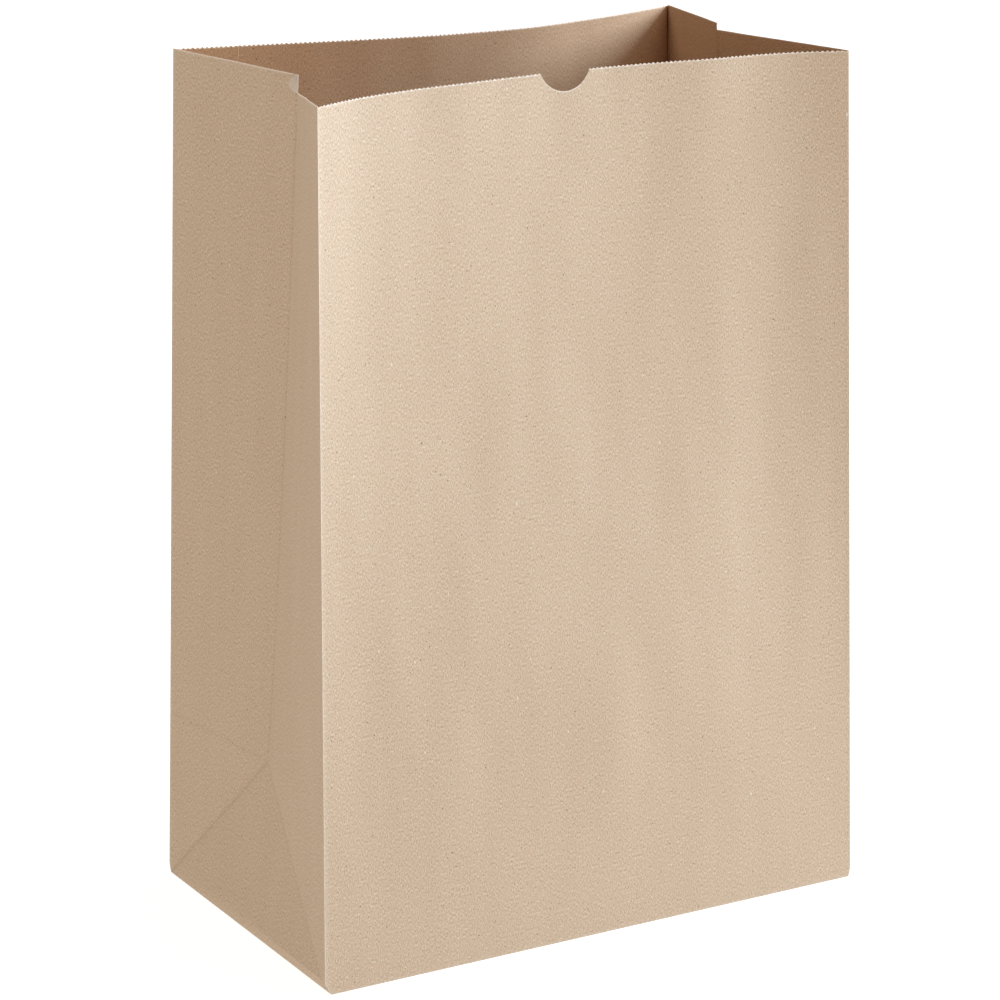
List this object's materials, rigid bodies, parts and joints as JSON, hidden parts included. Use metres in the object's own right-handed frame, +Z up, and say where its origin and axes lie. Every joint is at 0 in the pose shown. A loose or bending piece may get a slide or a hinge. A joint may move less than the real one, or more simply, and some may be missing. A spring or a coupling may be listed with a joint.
{
  "type": "brown paper bag",
  "caption": "Large open brown paper bag with gusseted sides, a flat folded bottom, saw-tooth mouth edges and a thumb notch.",
  "frame": {"origin": "middle of the flat bottom, on the surface that the bag stands on", "axes": "+Z up through the open mouth, +X along the wide panels, -Y out of the panel with the thumb notch"},
  "size_m": [0.3102, 0.1858, 0.4344],
  "materials": {
    "kraft_paper": "matt unbleached recycled kraft paper, light brown, with fine fibre specks"
  },
  "bodies": {
    "root": {"paper_bag": "kraft_paper"}
  },
  "joints": []
}
